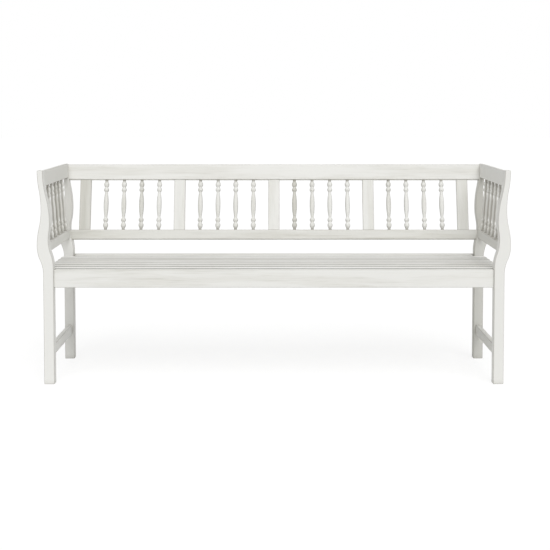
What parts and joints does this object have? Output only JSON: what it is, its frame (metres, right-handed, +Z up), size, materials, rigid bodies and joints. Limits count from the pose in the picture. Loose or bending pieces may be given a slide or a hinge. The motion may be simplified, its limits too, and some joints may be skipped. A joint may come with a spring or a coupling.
{
  "type": "outdoor bench",
  "caption": "Long whitewashed wooden bench with a slatted seat, S-curved posts, and a leaning back and arms filled with turned spindles.",
  "frame": {"origin": "middle of the bench's footprint box, on the floor", "axes": "+X along the bench, to the right seen from the front; +Y from the front to the back; +Z up"},
  "size_m": [1.83, 0.605, 0.831],
  "materials": {
    "frame_wood": "thin brushed whitewash over planed hardwood, matt",
    "slat_wood": "thin brushed whitewash over planed hardwood slats, matt",
    "turned_wood": "thin whitewash over turned hardwood, matt, darker in the coves"
  },
  "bodies": {
    "root": {"back_lower_rail": "frame_wood", "back_spindle_01": "turned_wood", "back_spindle_02": "turned_wood", "back_spindle_03": "turned_wood", "back_spindle_04": "turned_wood", "back_spindle_05": "turned_wood", "back_spindle_06": "turned_wood", "back_spindle_07": "turned_wood", "back_spindle_08": "turned_wood", "back_spindle_09": "turned_wood", "back_spindle_10": "turned_wood", "back_spindle_11": "turned_wood", "back_spindle_12": "turned_wood", "back_spindle_13": "turned_wood", "back_spindle_14": "turned_wood", "back_spindle_15": "turned_wood", "back_spindle_16": "turned_wood", "back_stile_1": "frame_wood", "back_stile_2": "frame_wood", "back_stile_3": "frame_wood", "back_stile_4": "frame_wood", "back_stile_5": "frame_wood", "back_top_rail": "frame_wood", "front_left_post": "frame_wood", "front_right_post": "frame_wood", "front_seat_rail": "frame_wood", "left_arm_lower_rail": "frame_wood", "left_arm_spindle_1": "turned_wood", "left_arm_spindle_2": "turned_wood", "left_arm_spindle_3": "turned_wood", "left_arm_spindle_4": "turned_wood", "left_arm_spindle_5": "turned_wood", "left_arm_top_rail": "frame_wood", "left_seat_rail": "frame_wood", "left_stretcher": "frame_wood", "rear_left_post": "frame_wood", "rear_right_post": "frame_wood", "rear_seat_rail": "frame_wood", "right_arm_lower_rail": "frame_wood", "right_arm_spindle_1": "turned_wood", "right_arm_spindle_2": "turned_wood", "right_arm_spindle_3": "turned_wood", "right_arm_spindle_4": "turned_wood", "right_arm_spindle_5": "turned_wood", "right_arm_top_rail": "frame_wood", "right_seat_rail": "frame_wood", "right_stretcher": "frame_wood", "seat_bearer_1": "frame_wood", "seat_bearer_2": "frame_wood", "seat_bearer_3": "frame_wood", "seat_bearer_4": "frame_wood", "seat_slat_1": "slat_wood", "seat_slat_2": "slat_wood", "seat_slat_3": "slat_wood", "seat_slat_4": "slat_wood", "seat_slat_5": "slat_wood", "seat_slat_6": "slat_wood", "seat_slat_7": "slat_wood"}
  },
  "joints": []
}
